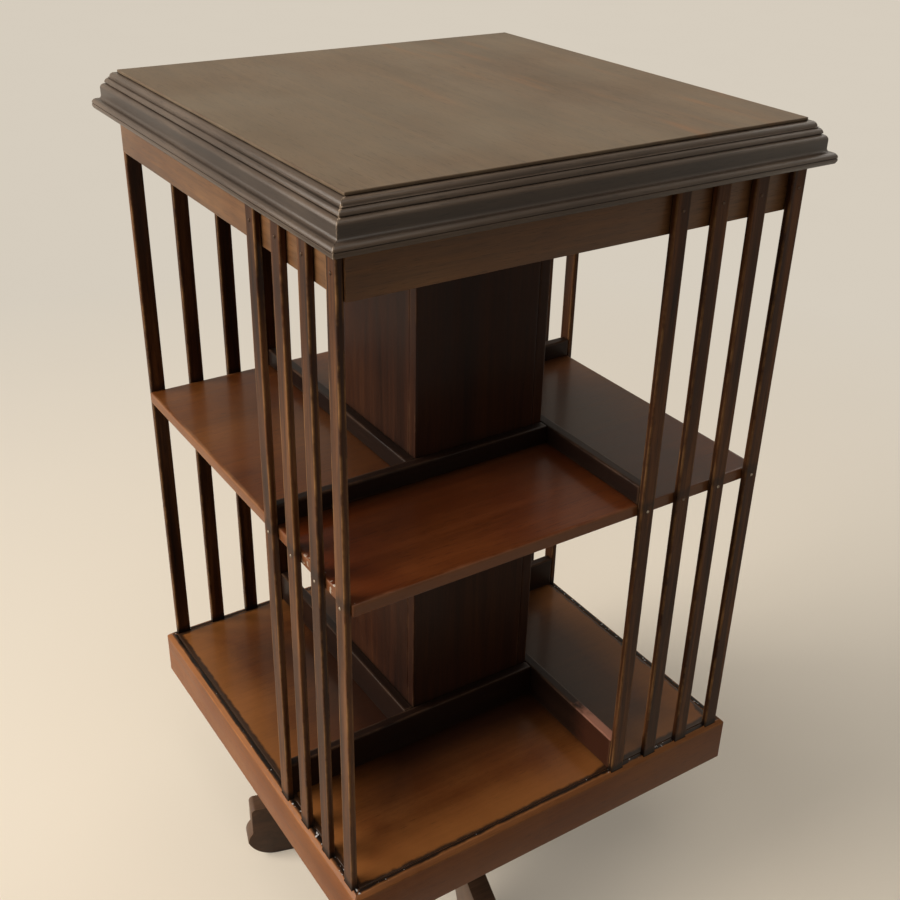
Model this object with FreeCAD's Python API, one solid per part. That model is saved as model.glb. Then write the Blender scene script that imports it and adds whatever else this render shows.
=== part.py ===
import FreeCAD, Part
import math
import os

# Revolving bookcase: a two-tier mahogany case that turns on a steel post carried by a low cross of
# two shaped boards. Millimetres, +Z up. The origin is on the floor, on the axis the case turns about.
# The front is -Y and +X is to the right. One side is built at the front and turned to the others.

# Heights of the case
deck_height = 226.0         # floor to the upper face of the bottom board
case_rise = 679.0           # bottom board to the top surface
shelf_rise = 333.0          # bottom board to the upper face of the middle shelf
frieze_depth = 80.0         # top surface down to the lower edge of the frieze
plinth_height = 56.0

# Widths and board thicknesses of the case
carcase_width = 461.0       # across the shelves and the frieze
plinth_reveal = 3.0         # ledge left outside the slats
plinth_thickness = 18.0
plinth_bevel = 4.0
board_thickness = 12.0      # bottom board
shelf_thickness = 12.5
panel_thickness = 12.0      # top panel
frieze_thickness = 16.0
column_width = 152.0
column_thickness = 12.0

# Top panel and the moulding round it, each step as its outward run and its drop
panel_lip = 3.0             # height of the lip that laps over the moulding
panel_setback = 2.0         # lip edge inside the carcase faces
tongue_width = 8.5          # moulding that runs in over the frieze
moulding_start = 1.5        # first edge of the moulding outside the carcase faces
upper_round = (2.5, 4.5)
quirk = (2.0, 2.0)
ovolo = (6.0, 9.0)
fascia_drop = 7.0
cove = (4.0, 3.3)
bead = (3.5, 5.2)
fillet_drop = 2.0
under_bevel = (1.2, 2.5)

# Slats and their pins
slat_width = 16.0
slat_thickness = 6.5
slats_per_side = 4
slat_end_inset = 2.0        # last slat back from the carcase corner
slat_seat = 6.0             # depth of the slat's lower end in the plinth
pin_head_radius = 1.7
pin_head_height = 0.9
pin_shank_radius = 0.8
pin_bite = 12.0             # length of pin in the board behind the slat
pin_clearance = 0.05

# Book stops on the bottom board and on the shelf
stop_thickness = 11.0
lower_stop_height = 40.0
upper_stop_height = 20.0

# Cross base: two boards on edge, half lapped, seen from the side as run from the axis and height
base_turn = 163.7           # angle of the lower bearer from +X as the case stands
bearer_thickness = 24.0
bearer_reach = 228.0        # axis to the upright end face
bearer_top = 141.0          # height of the boards at the middle
bearer_flat_run = 78.0      # half length of the level middle
bearer_arch = 63.0          # height of the arch under the middle
arch_flat_run = 40.0
arm_top = 77.0              # height of the level outer arm
arm_start = 168.0           # run at which the sweep meets the level arm
arm_round = 6.0
toe_start = 150.0           # inner end of the flat that stands on the floor
toe_end = 200.0             # outer end of that flat
toe_heel = 12.0             # height of the small step behind the toe
toe_swell = 6.0             # swell of the toe beyond the end face
toe_height = 24.0           # height of the widest point of the toe
toe_neck = 39.0             # height at which the swell has gone back in

# Hub board, flange and post
hub_width = 150.0
hub_thickness = 20.0
hub_bevel = 5.0
hub_screw_run = 64.0
hub_screw_length = 55.0
hub_screw_radius = 2.5
post_radius = 9.5
post_chamfer = 2.4
flange_radius = 50.0
flange_thickness = 6.0
flange_boss_radius = 19.0
flange_boss_height = 24.0
flange_screw_run = 38.0
flange_screw_length = 18.0
flange_screw_radius = 2.2
seat_clearance = 0.05       # pieces that are fixed into a hole
running_clearance = 0.05    # pieces that turn on the post
thrust_gap = 0.3            # film of grease between the post end and its cup

# Lower bush, pivot block and cup
bush_radius = 42.0
bush_thickness = 5.0
bush_boss_radius = 15.0
bush_boss_rise = 8.0        # boss above the bottom board, inside the column
bush_screw_run = 30.0
bush_screw_length = 14.0
bush_screw_radius = 2.0
block_thickness = 30.0
block_screw_run = 34.0
block_screw_length = 34.0
block_screw_radius = 2.2
cup_radius = 26.0
cup_flange = 4.0
cup_body_radius = 15.0
cup_body_height = 16.0
cup_bore_depth = 16.0
cup_screw_run = 20.5
cup_screw_length = 15.0
cup_screw_radius = 1.6
screw_head_ratio = 2.0      # countersunk head radius over shank radius

# Glue blocks
corner_block = 24.0
corner_block_height = 38.0
rub_block = 18.0
rub_block_length = 60.0
rub_block_run = 110.0

# Places that follow from the sizes above
carcase_half = carcase_width / 2
plinth_half = carcase_half + slat_thickness + plinth_reveal
column_half = column_width / 2
top_height = deck_height + case_rise
shelf_top = deck_height + shelf_rise
frieze_bottom = top_height - frieze_depth
plinth_bottom = deck_height - plinth_height
board_bottom = deck_height - board_thickness
panel_bottom = top_height - panel_thickness
moulding_drops = (upper_round[1], quirk[1], ovolo[1], fascia_drop, cove[1], bead[1], fillet_drop, under_bevel[1])
moulding_bottom = top_height - panel_lip - sum(moulding_drops)
slat_first = column_half
slat_last = carcase_half - slat_end_inset - slat_width
slat_pitch = (slat_last - slat_first) / (slats_per_side - 1)
hub_top = bearer_top + hub_thickness
flange_top = hub_top + flange_thickness
block_bottom = panel_bottom - block_thickness
cup_bottom = block_bottom - cup_flange
post_top = cup_bottom + cup_bore_depth - thrust_gap
pin_heights = (shelf_top - shelf_thickness / 2, (frieze_bottom + moulding_bottom) / 2)
sides = {"front": 0, "right": 90, "back": 180, "left": 270}

up = FreeCAD.Vector(0, 0, 1)
axis_foot = FreeCAD.Vector(0, 0, 0)


def vec(x, y, z):
    return FreeCAD.Vector(x, y, z)


def turned(shape, degrees):
    # The shape turned about the axis of the case
    moved = shape.copy()
    moved.rotate(axis_foot, up, degrees)
    return moved


def box(low, high):
    return Part.makeBox(high[0] - low[0], high[1] - low[1], high[2] - low[2], vec(*low))


def square_board(half, low, high):
    return box((-half, -half, low), (half, half, high))


def rod(radius, low, high):
    # A round bar on the axis of the case
    return Part.makeCylinder(radius, high - low, vec(0, 0, low))


def ring_of_four(run, first_angle):
    # Four places round the axis, the first at the given angle
    places = []
    for step in range(4):
        angle = math.radians(first_angle + 90 * step)
        places.append((run * math.cos(angle), run * math.sin(angle)))
    return places


def mitre_wedge():
    # The quarter of the plan that belongs to the front side, as deep as the whole bookcase
    reach = plinth_half + moulding_start + carcase_half
    corners = [vec(0, 0, 0), vec(-reach, -reach, 0), vec(reach, -reach, 0), vec(0, 0, 0)]
    return Part.Face(Part.makePolygon(corners)).extrude(vec(0, 0, top_height))


def mitred_rail(edges):
    # A front rail with the given closed section, mitred at both ends
    section = Part.Face(Part.Wire(edges))
    reach = plinth_half + moulding_start + carcase_half
    rail = section.extrude(vec(2 * reach, 0, 0))
    rail.translate(vec(-reach, 0, 0))
    return rail.common(mitre_wedge())


def section_point(out, height):
    return vec(0, -out, height)


def closed_polygon(points):
    places = [section_point(*point) for point in points]
    return [line(start, end) for start, end in zip(places, places[1:] + places[:1])]


def line(start, end):
    return Part.LineSegment(start, end).toShape()


def arc(start, heading, end):
    # The circular edge that leaves the start along the heading and reaches the end
    chord = end - start
    heading = heading.normalize()
    side = chord - heading * chord.dot(heading)
    side.normalize()
    centre = start + side * (chord.dot(chord) / (2 * chord.dot(side)))
    middle = (start - centre) + (end - centre)
    middle.normalize()
    return Part.Arc(start, centre + middle * (start - centre).Length, end).toShape()


def screw(radius, length, clearance=0.0):
    # A countersunk wood screw with its head face at z = 0, pointing down
    head = radius * screw_head_ratio
    cone = Part.makeCone(radius + clearance, head + clearance, head - radius, vec(0, 0, radius - head))
    shank = rod(radius + clearance, -length - clearance, radius - head)
    return cone.fuse(shank).removeSplitter()


def screws_down(places, height, radius, length, clearance=0.0):
    group = []
    for x, y in places:
        one = screw(radius, length, clearance)
        one.translate(vec(x, y, height))
        group.append(one)
    return group


def screws_up(places, height, radius, length, clearance=0.0):
    group = []
    for x, y in places:
        one = screw(radius, length, clearance)
        one.rotate(axis_foot, vec(1, 0, 0), 180)
        one.translate(vec(x, y, height))
        group.append(one)
    return group


def cut_all(shape, tools):
    for tool in tools:
        shape = shape.cut(tool)
    return shape


# Base
def bearer_profile():
    # Outer half of the board's side, from the middle of the top round to the middle of the arch
    def place(run, height):
        return vec(run, 0, height)

    outward = vec(1, 0, 0)
    inward = vec(-1, 0, 0)
    shoulder = place(bearer_flat_run, bearer_top)
    arm_inner = place(arm_start, arm_top)
    sweep_middle = (shoulder + arm_inner) * 0.5
    arm_outer = place(bearer_reach - arm_round, arm_top)
    end_top = place(bearer_reach, arm_top - arm_round)
    neck = place(bearer_reach, toe_neck)
    swell = place(bearer_reach + toe_swell, toe_height)
    edges = [
        line(place(0, bearer_top), shoulder),
        arc(shoulder, outward, sweep_middle),
        arc(arm_inner, inward, sweep_middle),
        line(arm_inner, arm_outer),
        arc(arm_outer, outward, end_top),
        line(end_top, neck),
        arc(swell, vec(0, 0, 1), neck),
        arc(place(toe_end, 0), outward, swell),
        line(place(toe_end, 0), place(toe_start, 0)),
        line(place(toe_start, 0), place(toe_start, toe_heel)),
        arc(place(arch_flat_run, bearer_arch), outward, place(toe_start, toe_heel)),
        line(place(arch_flat_run, bearer_arch), place(0, bearer_arch)),
        line(place(0, bearer_arch), place(0, bearer_top)),
    ]
    return Part.Face(Part.Wire(edges))


def bearer_board():
    half = bearer_profile().extrude(vec(0, bearer_thickness, 0))
    half.translate(vec(0, -bearer_thickness / 2, 0))
    return half.fuse(turned(half, 180)).removeSplitter()


def lap_notch(low, high):
    side = bearer_thickness / 2
    return box((-side, -side, low), (side, side, high))


def base_pieces():
    lap_height = (bearer_arch + bearer_top) / 2
    lower = bearer_board().cut(lap_notch(lap_height, bearer_top))
    upper = turned(bearer_board().cut(lap_notch(bearer_arch, lap_height)), 90)
    hub_places = ring_of_four(hub_screw_run, 0)
    flange_places = ring_of_four(flange_screw_run, 45)
    hub_holes = screws_down(hub_places, hub_top, hub_screw_radius, hub_screw_length, seat_clearance)
    flange_holes = screws_down(flange_places, flange_top, flange_screw_radius, flange_screw_length, seat_clearance)
    hub = square_board(hub_width / 2, bearer_top, hub_top)
    top_edges = [edge for edge in hub.Edges if abs(edge.CenterOfMass.z - hub_top) < seat_clearance]
    hub = hub.makeChamfer(hub_bevel, top_edges)
    hub = hub.cut(rod(post_radius + seat_clearance, bearer_top, hub_top))
    flange = rod(flange_radius, hub_top, flange_top).fuse(
        rod(flange_boss_radius, flange_top, flange_top + flange_boss_height)).removeSplitter()
    flange = flange.cut(rod(post_radius + seat_clearance, hub_top, flange_top + flange_boss_height))
    pieces = {
        "bearer_lower": cut_all(lower, hub_holes),
        "bearer_upper": cut_all(upper, hub_holes),
        "hub_board": cut_all(hub, hub_holes + flange_holes),
        "hub_screws": Part.makeCompound(screws_down(hub_places, hub_top, hub_screw_radius, hub_screw_length)),
        "post_flange": cut_all(flange, flange_holes),
        "flange_screws": Part.makeCompound(
            screws_down(flange_places, flange_top, flange_screw_radius, flange_screw_length)),
    }
    pieces = {name: turned(shape, base_turn) for name, shape in pieces.items()}
    post = rod(post_radius, bearer_top, post_top)
    end_edges = [edge for edge in post.Edges if abs(edge.CenterOfMass.z - post_top) < seat_clearance]
    pieces["post"] = post.makeChamfer(post_chamfer, end_edges)
    return pieces


# Slats and their pins, for the front side
def slat_place(number):
    return slat_first + slat_pitch * number


def slat_box(number):
    left = slat_place(number)
    return box((left, -carcase_half - slat_thickness, deck_height - slat_seat),
               (left + slat_width, -carcase_half, moulding_bottom))


def pin(x, height, clearance=0.0):
    # A round-headed pin driven inward through a front slat. Its hole has no head and is a little larger.
    face = -carcase_half - slat_thickness
    shank = Part.makeCylinder(pin_shank_radius + clearance, slat_thickness + pin_bite + clearance,
                              vec(x, face, height), vec(0, 1, 0))
    if clearance:
        return shank
    head = Part.makeCylinder(pin_head_radius, pin_head_height, vec(x, face - pin_head_height, height), vec(0, 1, 0))
    return head.fuse(shank).removeSplitter()


def side_pins(clearance=0.0):
    pins = []
    for number in range(slats_per_side):
        for height in pin_heights:
            pins.append(pin(slat_place(number) + slat_width / 2, height, clearance))
    return pins


def pin_holes_all_round():
    return [turned(hole, angle) for angle in sides.values() for hole in side_pins(pin_clearance)]


def slat_pieces():
    pieces = {}
    for side, angle in sides.items():
        for number in range(slats_per_side):
            slat = cut_all(slat_box(number), side_pins(pin_clearance))
            pieces["slat_{}_{}".format(side, number + 1)] = turned(slat, angle)
    pins = [turned(one, angle) for angle in sides.values() for one in side_pins()]
    pieces["slat_pins"] = Part.makeCompound(pins)
    return pieces


# Plinth, bottom board and lower bush
def plinth_rail():
    inner = plinth_half - plinth_thickness
    points = [
        (inner, plinth_bottom),
        (plinth_half, plinth_bottom),
        (plinth_half, deck_height - plinth_bevel),
        (plinth_half - plinth_bevel, deck_height),
        (carcase_half, deck_height),
        (carcase_half, board_bottom),
        (inner, board_bottom),
    ]
    rail = mitred_rail(closed_polygon(points))
    return cut_all(rail, [slat_box(number) for number in range(slats_per_side)])


def corner_blocks():
    inner = plinth_half - plinth_thickness
    block = box((inner - corner_block, -inner, board_bottom - corner_block_height),
                (inner, corner_block - inner, board_bottom))
    return Part.makeCompound([turned(block, angle) for angle in sides.values()])


def lower_bush():
    boss_top = deck_height + bush_boss_rise
    flange_low = board_bottom - bush_thickness
    body = rod(bush_radius, flange_low, board_bottom).fuse(rod(bush_boss_radius, flange_low, boss_top))
    return body.removeSplitter().cut(rod(post_radius + running_clearance, flange_low, boss_top))


def lower_pieces():
    places = ring_of_four(bush_screw_run, 45)
    screw_face = board_bottom - bush_thickness
    holes = screws_up(places, screw_face, bush_screw_radius, bush_screw_length, seat_clearance)
    board = square_board(carcase_half, board_bottom, deck_height)
    board = board.cut(rod(bush_boss_radius + seat_clearance, board_bottom, deck_height))
    pieces = {
        "bottom_board": cut_all(board, holes),
        "plinth_blocks": corner_blocks(),
        "lower_bush": cut_all(lower_bush(), holes),
        "bush_screws": Part.makeCompound(screws_up(places, screw_face, bush_screw_radius, bush_screw_length)),
    }
    for side, angle in sides.items():
        pieces["plinth_" + side] = turned(plinth_rail(), angle)
    return pieces


# Middle shelf, column and book stops
def stop_bar(low, height):
    return box((-carcase_half, -column_half - stop_thickness, low), (column_half, -column_half, low + height))


def middle_pieces():
    shelf = square_board(carcase_half, shelf_top - shelf_thickness, shelf_top)
    shelf = shelf.cut(square_board(column_half, shelf_top - shelf_thickness, shelf_top))
    board = box((-column_half, -column_half, deck_height),
                (column_half - column_thickness, column_thickness - column_half, panel_bottom))
    pieces = {"middle_shelf": cut_all(shelf, pin_holes_all_round())}
    screw_holes = Part.makeCompound(block_screws(seat_clearance))
    for side, angle in sides.items():
        pieces["column_" + side] = turned(board, angle).cut(screw_holes)
        pieces["lower_stop_" + side] = turned(stop_bar(deck_height, lower_stop_height), angle)
        pieces["upper_stop_" + side] = turned(stop_bar(shelf_top, upper_stop_height), angle)
    return pieces


# Pivot block and cup in the head of the column
def block_screws(clearance=0.0):
    group = []
    height = (panel_bottom + block_bottom) / 2
    for angle in sides.values():
        for x in (-block_screw_run, block_screw_run):
            one = screw(block_screw_radius, block_screw_length, clearance)
            one.rotate(axis_foot, vec(1, 0, 0), 90)
            one.translate(vec(x, -column_half, height))
            group.append(turned(one, angle))
    return group


def pivot_pieces():
    places = ring_of_four(cup_screw_run, 45)
    holes = screws_up(places, cup_bottom, cup_screw_radius, cup_screw_length, seat_clearance)
    block = square_board(column_half - column_thickness, block_bottom, panel_bottom)
    block = block.cut(rod(cup_body_radius + seat_clearance, block_bottom, block_bottom + cup_body_height))
    cup = rod(cup_radius, cup_bottom, block_bottom).fuse(
        rod(cup_body_radius, cup_bottom, block_bottom + cup_body_height)).removeSplitter()
    cup = cup.cut(rod(post_radius + running_clearance, cup_bottom, cup_bottom + cup_bore_depth))
    return {
        "pivot_block": cut_all(block, holes + block_screws(seat_clearance)),
        "pivot_cup": cut_all(cup, holes),
        "cup_screws": Part.makeCompound(screws_up(places, cup_bottom, cup_screw_radius, cup_screw_length)),
        "block_screws": Part.makeCompound(block_screws()),
    }


# Frieze, moulding and top panel
def moulding_section():
    # The section is traced from the tongue out along the top, down the outer steps and back
    edges = []
    place = [carcase_half + moulding_start, top_height - panel_lip]

    def step(out, drop, form="flat"):
        start = section_point(*place)
        place[0] += out
        place[1] -= drop
        end = section_point(*place)
        if form == "round":
            edges.append(arc(end, vec(0, 0, 1), start))
        elif form == "hollow":
            edges.append(arc(start, vec(0, 0, -1), end))
        else:
            edges.append(line(start, end))

    tongue_end = carcase_half - tongue_width
    tongue_top = section_point(tongue_end, place[1])
    edges.append(line(tongue_top, section_point(*place)))
    step(*upper_round, form="round")
    step(*quirk)
    step(*ovolo, form="round")
    step(0, fascia_drop)
    step(*cove, form="hollow")
    step(*bead, form="round")
    step(0, fillet_drop)
    step(-under_bevel[0], under_bevel[1])
    back = [section_point(*place), section_point(carcase_half, moulding_bottom),
            section_point(carcase_half, panel_bottom), section_point(tongue_end, panel_bottom), tongue_top]
    for start, end in zip(back, back[1:]):
        edges.append(line(start, end))
    return edges


def rub_blocks():
    # Glue blocks in the angle between the frieze and the top panel
    inner = carcase_half - frieze_thickness
    blocks = []
    for angle in sides.values():
        for x in (-rub_block_run, rub_block_run):
            block = box((x - rub_block_length / 2, -inner, panel_bottom - rub_block),
                        (x + rub_block_length / 2, rub_block - inner, panel_bottom))
            blocks.append(turned(block, angle))
    return Part.makeCompound(blocks)


def upper_pieces():
    inner = carcase_half - frieze_thickness
    frieze_points = [(inner, frieze_bottom), (carcase_half, frieze_bottom),
                     (carcase_half, panel_bottom), (inner, panel_bottom)]
    frieze = mitred_rail(closed_polygon(frieze_points))
    pin_holes = pin_holes_all_round()
    moulding = mitred_rail(moulding_section())
    panel = square_board(carcase_half - tongue_width, panel_bottom, top_height)
    lip = square_board(carcase_half - panel_setback, top_height - panel_lip, top_height)
    pieces = {"top_panel": panel.fuse(lip).removeSplitter(), "frieze_blocks": rub_blocks()}
    for side, angle in sides.items():
        pieces["frieze_" + side] = cut_all(turned(frieze, angle), pin_holes)
        pieces["moulding_" + side] = turned(moulding, angle)
    return pieces


def main():
    os.makedirs("parts", exist_ok=True)
    pieces = {}
    for group in (base_pieces, lower_pieces, middle_pieces, slat_pieces, pivot_pieces, upper_pieces):
        pieces.update(group())
    for name, shape in pieces.items():
        shape.exportStep("parts/" + name + ".step")
    print(len(pieces), "pieces, top surface at", top_height)


main()
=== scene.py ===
import math
import bpy
from mathutils import Matrix, Quaternion, Vector


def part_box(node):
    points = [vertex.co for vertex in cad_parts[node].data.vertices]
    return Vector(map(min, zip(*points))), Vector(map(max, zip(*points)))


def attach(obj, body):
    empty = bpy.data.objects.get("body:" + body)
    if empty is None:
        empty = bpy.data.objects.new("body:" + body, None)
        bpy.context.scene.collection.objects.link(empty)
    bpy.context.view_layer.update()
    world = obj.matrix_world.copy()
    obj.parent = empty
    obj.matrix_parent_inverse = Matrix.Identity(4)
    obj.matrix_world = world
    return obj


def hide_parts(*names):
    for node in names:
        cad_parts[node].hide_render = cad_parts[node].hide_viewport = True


# Revolving bookcase in old french polished mahogany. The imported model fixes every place,
# and the pieces made here stand exactly where its boards, rails, slats and pins are.
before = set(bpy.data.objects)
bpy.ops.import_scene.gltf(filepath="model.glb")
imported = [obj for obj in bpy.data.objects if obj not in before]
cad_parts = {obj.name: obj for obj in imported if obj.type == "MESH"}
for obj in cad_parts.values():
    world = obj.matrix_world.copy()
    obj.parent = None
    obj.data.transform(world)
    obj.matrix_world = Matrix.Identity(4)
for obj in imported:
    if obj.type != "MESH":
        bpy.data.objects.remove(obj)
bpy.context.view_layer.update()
tiny = 0.00002          # metres, and what is nearer than this counts as touching
levelNormal = 0.9       # how upright the normal of a level face is at least
slatNumbers = range(1, 5)
sideAngles = {"front": 0, "right": 90, "back": 180, "left": 270}
print("frame loaded,", len(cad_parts), "pieces")


# Working on a mesh
def dropSelection():
    bpy.ops.object.select_all(action="DESELECT")


def takeUp(piece):
    dropSelection()
    piece.select_set(True)
    bpy.context.view_layer.objects.active = piece


def openPiece(piece, mode):
    # Edit mode in vertex, edge or face mode, keeping what was picked in code
    takeUp(piece)
    bpy.context.tool_settings.mesh_select_mode = [mode == kind for kind in ("vertex", "edge", "face")]
    bpy.ops.object.mode_set(mode="EDIT")


def closePiece():
    bpy.ops.object.mode_set(mode="OBJECT")


def pick(piece, kind, test):
    # Picks the edges or faces that pass the test, and nothing else
    mesh = piece.data
    for group in (mesh.vertices, mesh.edges, mesh.polygons):
        group.foreach_set("select", [False] * len(group))
    chosen = mesh.edges if kind == "edge" else mesh.polygons
    for item in chosen:
        if test(item):
            item.select = True
    openPiece(piece, kind)


def applyModifier(piece, modifier):
    takeUp(piece)
    bpy.ops.object.modifier_apply(modifier=modifier.name)


def applyPlace():
    bpy.ops.object.transform_apply(location=True, rotation=True, scale=True)


def addBlock(name, low, high):
    dropSelection()
    bpy.ops.mesh.primitive_cube_add(size=1, location=(low + high) / 2, scale=high - low)
    block = bpy.context.object
    block.name = name
    applyPlace()
    return block


def freshCopy(piece, name):
    # A copy with its own mesh
    other = piece.copy()
    other.data = piece.data.copy()
    other.name = name
    other.data.name = name
    bpy.context.collection.objects.link(other)
    return other


def turnMesh(piece, degrees):
    # Turns a mesh about the axis of the case
    piece.data.transform(Matrix.Rotation(math.radians(degrees), 4, "Z"))


def turnedCopy(piece, name, degrees):
    other = freshCopy(piece, name)
    turnMesh(other, degrees)
    return other


def cutWith(piece, cutter):
    cut = piece.modifiers.new("cut", "BOOLEAN")
    cut.operation = "DIFFERENCE"
    cut.solver = "EXACT"
    cut.object = cutter
    applyModifier(piece, cut)
    bpy.data.objects.remove(cutter)


def joinPieces(pieces, name):
    dropSelection()
    for piece in pieces:
        piece.select_set(True)
    bpy.context.view_layer.objects.active = pieces[0]
    bpy.ops.object.join()
    pieces[0].name = name
    return pieces[0]


def smoothPiece(piece, degrees=32):
    takeUp(piece)
    bpy.ops.object.shade_smooth_by_angle(angle=math.radians(degrees))


def markWear(piece, wornAndLit):
    # Writes how much each face corner is rubbed, as the wear that the finishes read
    wear = piece.data.attributes.new("wear", "FLOAT", "CORNER")
    values = []
    for face in piece.data.polygons:
        for corner in face.loop_indices:
            values.append(wornAndLit(face, piece.data.vertices[piece.data.loops[corner].vertex_index].co))
    wear.data.foreach_set("value", values)


def easeEdges(piece, width, segments=3, degrees=40):
    # Rounds the arrises of a finished shape and marks them as the parts that wear.
    # Two empty material slots tell the new faces from the old ones.
    for spare in range(2):
        piece.data.materials.append(None)
    ease = piece.modifiers.new("arris", "BEVEL")
    ease.limit_method = "ANGLE"
    ease.angle_limit = math.radians(degrees)
    ease.width = width
    ease.segments = segments
    ease.material = 1
    ease.use_clamp_overlap = True
    applyModifier(piece, ease)
    markWear(piece, lambda face, place: 1.0 if face.material_index == 1 else 0.0)
    piece.data.polygons.foreach_set("material_index", [0] * len(piece.data.polygons))
    piece.data.materials.clear()
    smoothPiece(piece)


planed = {
    "rimShare": 0.35,       # the rim takes at most this share of the board's least side
    "arrisShare": 0.7,      # and the arris at most this share of the rim
    "wornShare": 0.9,       # the outer part of the rim that wears
    "segments": 3,
}


def makeBoard(name, low, high, arris, rim):
    # A planed board: a rim round each face, then its twelve arrises rounded over
    board = addBlock(name, low, high)
    reach = min(rim, planed["rimShare"] * min(high - low))
    openPiece(board, "face")
    bpy.ops.mesh.select_all(action="SELECT")
    bpy.ops.mesh.inset(thickness=reach, use_individual=True)
    closePiece()
    ends = set()
    for point in board.data.vertices:
        if all(min(abs(point.co[i] - low[i]), abs(point.co[i] - high[i])) < tiny for i in range(3)):
            ends.add(point.index)
    pick(board, "edge", lambda edge: edge.vertices[0] in ends and edge.vertices[1] in ends)
    width = min(arris, reach * planed["arrisShare"])
    bpy.ops.mesh.bevel(offset=width, segments=planed["segments"], affect="EDGES")
    closePiece()
    wearBoard(board, low, high, reach)
    smoothPiece(board)
    return board


def wearBoard(board, low, high, reach):
    def wornAndLit(face, place):
        inward = sorted(min(place[i] - low[i], high[i] - place[i]) for i in range(3))
        return 1.0 if inward[1] < reach * planed["wornShare"] else 0.0
    markWear(board, wornAndLit)


def install(piece, body, slotName, finish, *nodes, below=None):
    # The finish goes on, and the one for its unpolished underside where it has one
    piece.data.materials.clear()
    piece.data.materials.append(finish)
    if below:
        piece.data.materials.append(below)
        for face in piece.data.polygons:
            face.material_index = 1 if face.normal.z < -levelNormal else 0
    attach(piece, body)
    if nodes:
        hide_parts(*nodes)


# Colour and shader helpers
def paint(red, green, blue):
    # A colour as seen on screen, 0 to 255, for the shader
    def straight(value):
        value /= 255
        return value / 12.92 if value <= 0.04045 else ((value + 0.055) / 1.055) ** 2.4
    return (straight(red), straight(green), straight(blue), 1.0)


def addNode(tree, kind, inputs=None, **settings):
    node = tree.nodes.new("ShaderNode" + kind)
    for name, value in settings.items():
        setattr(node, name, value)
    for name, value in (inputs or {}).items():
        if isinstance(value, bpy.types.NodeSocket):
            tree.links.new(value, node.inputs[name])
        else:
            node.inputs[name].default_value = value
    return node


def calc(tree, operation, first, second=0.0, clamp=False):
    node = addNode(tree, "Math", {0: first, 1: second}, operation=operation, use_clamp=clamp)
    return node.outputs[0]


def times(tree, first, *others):
    for other in others:
        first = calc(tree, "MULTIPLY", first, other)
    return first


def plus(tree, first, second, clamp=False):
    return calc(tree, "ADD", first, second, clamp)


def minus(tree, first, second):
    return calc(tree, "SUBTRACT", first, second)


def absolute(tree, value):
    return calc(tree, "ABSOLUTE", value)


def blendColour(tree, amount, under, over, mode="MIX"):
    node = addNode(tree, "Mix", data_type="RGBA", blend_type=mode)
    for index, value in ((0, amount), (6, under), (7, over)):
        if isinstance(value, bpy.types.NodeSocket):
            tree.links.new(value, node.inputs[index])
        else:
            node.inputs[index].default_value = value
    return node.outputs[2]


def fade(tree, value, start, end):
    # 0 at start and 1 at end, or the other way where start is the larger
    node = addNode(tree, "MapRange", {"Value": value, "From Min": start, "From Max": end}, clamp=True)
    return node.outputs[0]


def colourRamp(tree, value, stops):
    node = addNode(tree, "ValToRGB", {"Fac": value})
    while len(node.color_ramp.elements) < len(stops):
        node.color_ramp.elements.new(0.5)
    for element, (place, colour) in zip(node.color_ramp.elements, stops):
        element.position = place
        element.color = colour
    return node.outputs["Color"]


def cloud(tree, place, scale, detail=2.0, roughness=0.5, distortion=0.0):
    # Settings that name a cloud hold these numbers in this order
    node = addNode(tree, "TexNoise", {"Vector": place, "Scale": scale, "Detail": detail,
                                      "Roughness": roughness, "Distortion": distortion})
    return node.outputs["Fac"]


def axesOf(tree, place):
    return addNode(tree, "SeparateXYZ", {"Vector": place}).outputs


def fromAxis(tree, axes):
    # How far out a point lies, square to the nearest side of the case
    return calc(tree, "MAXIMUM", absolute(tree, axes["X"]), absolute(tree, axes["Y"]))


def newFinish(name):
    finish = bpy.data.materials.new(name)
    finish.use_nodes = True
    finish.node_tree.nodes.clear()
    return finish, finish.node_tree


def closeFinish(tree, inputs):
    shader = addNode(tree, "BsdfPrincipled", inputs)
    addNode(tree, "OutputMaterial", {"Surface": shader.outputs[0]})


# Mahogany. A look can set any of these anew, and a fade holds its start and its end.
mahogany = {
    "squeeze": 0.045,                       # how far the grain is drawn out along the board
    "figureScale": 17,                      # broad ribbon figure
    "figureCloud": (3.0, 0.5, 0.9),
    "figureShare": 0.58,
    "streakScale": 150,
    "streakCloud": (4.0, 0.65, 0.4),
    "streakShare": 0.42,
    "contrast": 0.18,
    "poreScale": 1500,
    "poreDetail": 1.0,
    "poreFade": (0.61, 0.7),
    "poreDepth": 0.45,
    "patinaScale": 7,
    "patinaCloud": (3.0, 0.55),
    "patinaFade": (0.38, 0.7),
    "bloomCloud": (3.0, 0.6, 0.5),
    "bloomFade": (0.3, 0.68),
    "wearScale": 22,
    "wearCloud": (4.0, 0.65),
    "wearFade": 0.25,                       # past the wearStart of the look
    # Ambient occlusion darkens creases, joints and corners, as dirt and as painted shade
    "grimeAndShadeReach": 0.011,
    "grimeAndShadeSamples": 6,
    "grimeAndShadeStart": 0.22,
    "grimeAndShadeFade": 0.58,                      # past grimeAndShadeStart
    "grimeAndShadePatches": (0.2, 0.55),
    "grimeAndShadeAmount": 0.9,
    "grimeAndShade": paint(11, 9, 8),
    "coatRoughness": 0.2,
    "specular": 0.22,
    "streakRoughness": 0.16,
    "wearRoughness": 0.25,
    "streakRelief": 0.5,
    "poreRelief": -0.5,
    "bump": 0.22,
    "bumpHeight": 0.0004,
}


def grainPlace(tree, grain):
    # Object coordinates drawn out along the board's own grain
    squeeze = [mahogany["squeeze"] if axis == grain else 1.0 for axis in "xyz"]
    place = addNode(tree, "TexCoord").outputs["Object"]
    drawn = addNode(tree, "Mapping", {"Vector": place, "Scale": squeeze})
    return place, drawn.outputs[0]


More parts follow.
